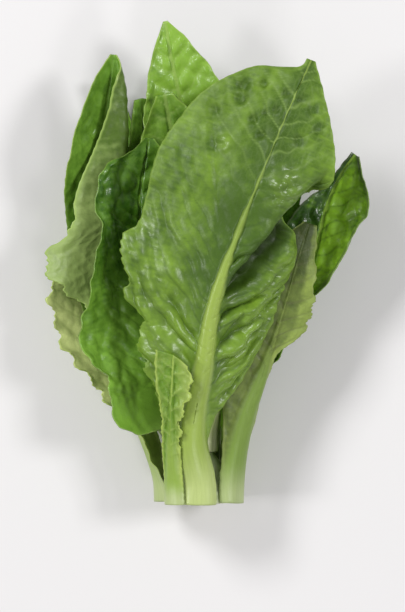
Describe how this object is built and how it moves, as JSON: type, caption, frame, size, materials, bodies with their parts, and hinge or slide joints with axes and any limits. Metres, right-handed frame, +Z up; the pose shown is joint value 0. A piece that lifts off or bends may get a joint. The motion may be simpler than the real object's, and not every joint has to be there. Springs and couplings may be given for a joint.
{
  "type": "romaine lettuce head",
  "caption": "Cut head of romaine lettuce lying on its back leaves: long ribbed green leaves in rings round a short pale stem.",
  "frame": {"origin": "centre of the head's bounding box, on the surface it lies on", "axes": "+Y from the cut stem towards the leaf tips, +X across the head to the right, +Z up, from the leaves it lies on to the front leaf"},
  "size_m": [0.2252, 0.341, 0.1062],
  "materials": {
    "stem": "moist, pale green-white, satin",
    "heart": "waxy yellow-green leaf, satin",
    "leaf": "waxy green leaf, satin to glossy"
  },
  "bodies": {
    "root": {"stem": "stem", "heart_core": "heart", "heart_front": "heart", "leaf_left_broad": "leaf", "leaf_inner": "leaf", "leaf_top": "leaf", "leaf_middle": "leaf", "leaf_right_tip": "leaf", "leaf_left_rolled": "leaf", "leaf_right_pale": "leaf", "leaf_back_left": "leaf", "leaf_back_right": "leaf", "leaf_left_low": "leaf", "leaf_front": "leaf", "leaf_small_front": "leaf"}
  },
  "joints": []
}
